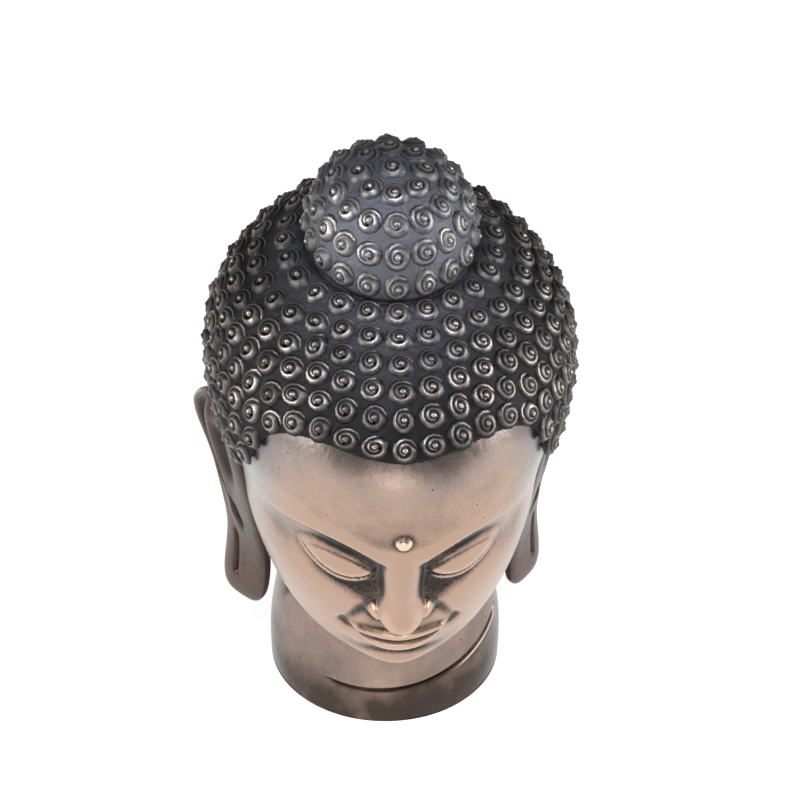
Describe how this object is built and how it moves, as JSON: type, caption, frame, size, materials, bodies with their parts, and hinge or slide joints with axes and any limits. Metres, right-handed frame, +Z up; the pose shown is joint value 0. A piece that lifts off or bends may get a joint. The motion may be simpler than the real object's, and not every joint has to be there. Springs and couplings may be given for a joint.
{
  "type": "buddha head sculpture",
  "caption": "Bowed buddha head with snail-curl hair, topknot and long ears, cast in one with a flared neck foot that stands on its flat underside.",
  "frame": {"origin": "centre of the flat underside of the neck foot, the face that stands on the table", "axes": "+Z up, the face looks along -Y, +X is on the right of someone facing the sculpture"},
  "size_m": [0.1506, 0.1736, 0.2524],
  "materials": {
    "bronze_resin": "cold-cast bronze resin, satin: rose-brown skin, dark gunmetal hair with rubbed crests"
  },
  "bodies": {
    "root": {"buddha_head": "bronze_resin"}
  },
  "joints": []
}
